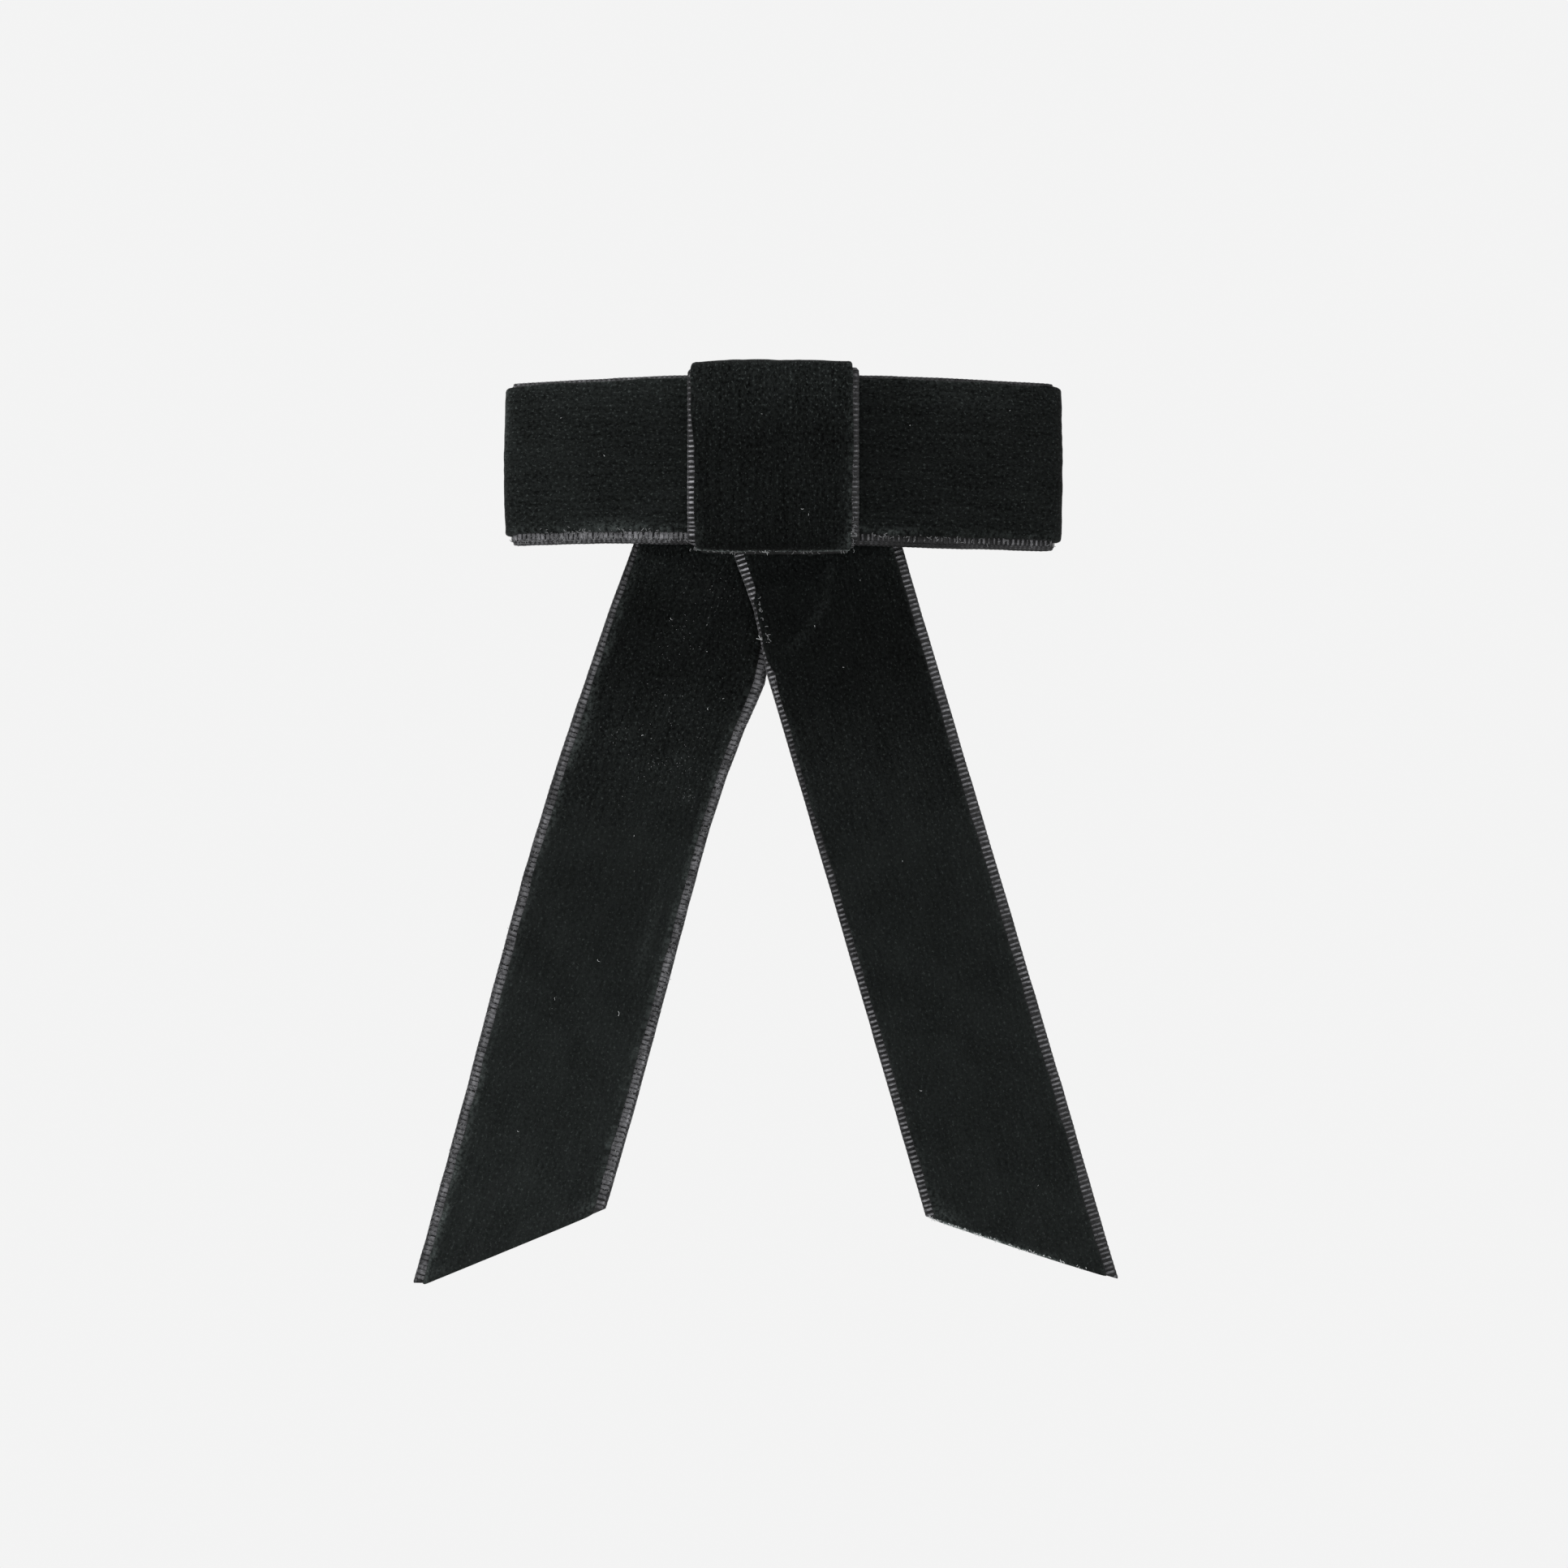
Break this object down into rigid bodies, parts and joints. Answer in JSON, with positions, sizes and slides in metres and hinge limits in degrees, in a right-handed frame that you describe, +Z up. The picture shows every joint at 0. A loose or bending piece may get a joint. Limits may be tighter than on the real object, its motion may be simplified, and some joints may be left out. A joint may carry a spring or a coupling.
{
  "type": "hair bow",
  "caption": "Flat black velvet ribbon hair bow with folded loops, a wrapped centre band and long slant-cut tails, on a hinged steel French barrette with a pinch latch.",
  "frame": {"origin": "middle of the hair gap, between the barrette's tension spring and its clasp bar, where the bow holds on to the hair", "axes": "+Z up as worn, with the tails hanging towards -Z; the velvet front faces -Y and the clasp bar is at +Y; +X is to the viewer's right in front of the bow"},
  "size_m": [0.1066, 0.0238, 0.1381],
  "materials": {
    "black_velvet": "short dense black pile between woven selvages",
    "black_thread": "twisted polyester sewing thread",
    "fabric_glue": "dried hot-melt fabric glue, milky",
    "nickel_steel": "nickel-plated stamped steel, satin",
    "spring_steel": "bright tempered spring steel"
  },
  "bodies": {
    "bow": {"loop_ribbon": "black_velvet", "band_ribbon": "black_velvet", "left_tail_root": "black_velvet", "right_tail_root": "black_velvet", "loop_stitches": "black_thread", "tail_stitches": "black_thread", "plate_stitches": "black_thread", "glue_layer": "fabric_glue", "barrette_plate": "nickel_steel", "hinge_pin": "nickel_steel", "latch_frame": "nickel_steel", "latch_rivet": "nickel_steel"},
    "tails": {"left_tail": "black_velvet", "right_tail": "black_velvet"},
    "clasp": {"clasp_bar": "nickel_steel"},
    "upper_arm": {"latch_arm_upper": "spring_steel"},
    "lower_arm": {"latch_arm_lower": "spring_steel"},
    "spring_left": {"spring_left_half": "spring_steel"},
    "spring_right": {"spring_right_half": "spring_steel"}
  },
  "joints": [
    {"name": "clasp_swing", "type": "hinge", "parent": "bow", "child": "clasp", "pos_m": [-0.033, 0.00421, 0], "axis": [0, 0, 1], "range_deg": [0, 75]},
    {"name": "tails_swing", "type": "hinge", "parent": "bow", "child": "tails", "pos_m": [0, -0.0083, -0.0162], "axis": [-1, 0, 0], "range_deg": [-30, 60]},
    {"name": "upper_arm_flex", "type": "hinge", "parent": "bow", "child": "upper_arm", "pos_m": [0.0321, 0.00075, 0.0038], "axis": [1, 0, 0], "range_deg": [0, 12], "stiffness_Nm_per_rad": 0.004},
    {"name": "lower_arm_flex", "type": "hinge", "parent": "bow", "child": "lower_arm", "pos_m": [0.0321, 0.00075, -0.0038], "axis": [1, 0, 0], "range_deg": [-12, 0], "stiffness_Nm_per_rad": 0.004},
    {"name": "spring_flex", "type": "hinge", "parent": "bow", "child": "spring_left", "pos_m": [-0.024, -0.00337, 0], "axis": [0, 0, -1], "range_deg": [0, 4.4], "stiffness_Nm_per_rad": 0.02},
    {"name": "spring_middle", "type": "hinge", "parent": "spring_left", "child": "spring_right", "pos_m": [0, -0.00258, 0], "axis": [0, 0, -1], "range_deg": [-8.8, 0]}
  ],
  "couplings": [
    {"joint": "lower_arm_flex", "follows": "upper_arm_flex", "ratio": -1},
    {"joint": "spring_middle", "follows": "spring_flex", "ratio": -2}
  ]
}
